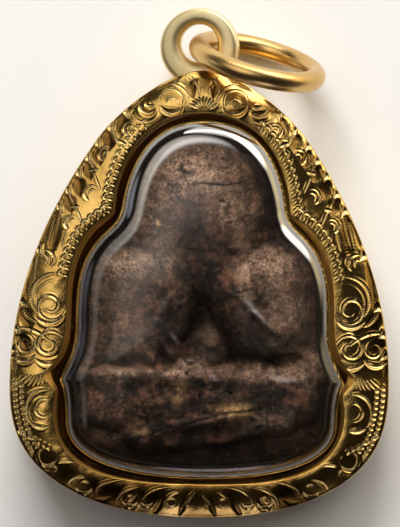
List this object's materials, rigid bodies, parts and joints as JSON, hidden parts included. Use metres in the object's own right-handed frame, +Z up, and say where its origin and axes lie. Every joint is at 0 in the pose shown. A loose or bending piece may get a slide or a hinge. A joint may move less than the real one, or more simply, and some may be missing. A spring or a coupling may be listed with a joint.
{
  "type": "cased amulet pendant",
  "caption": "Pointed-oval gold case with an engraved band round a clear dome over a dark clay figure that covers its face, with an eyelet and a loose ring.",
  "frame": {"origin": "centre of the clear back's flat face, on the surface the pendant lies on", "axes": "+Z up out of the figure's face, +Y towards the eyelet, +X to the right as the figure is seen"},
  "size_m": [0.032, 0.0432, 0.0115],
  "materials": {
    "gold": "polished",
    "satin_gold": "satin",
    "clear_plastic": "clear",
    "clay": "dry pressed clay"
  },
  "bodies": {
    "case": {"gold_case": "gold", "gold_back_plate": "gold", "clear_cover": "clear_plastic", "clear_back": "clear_plastic", "clay_figure": "clay"},
    "ring": {"hanging_ring": "satin_gold"}
  },
  "joints": [
    {"name": "ring_swing", "type": "hinge", "parent": "case", "child": "ring", "pos_m": [-0.0006, 0.02176, 0.0048], "axis": [0, 0, 1], "range_deg": [0, 190]}
  ]
}
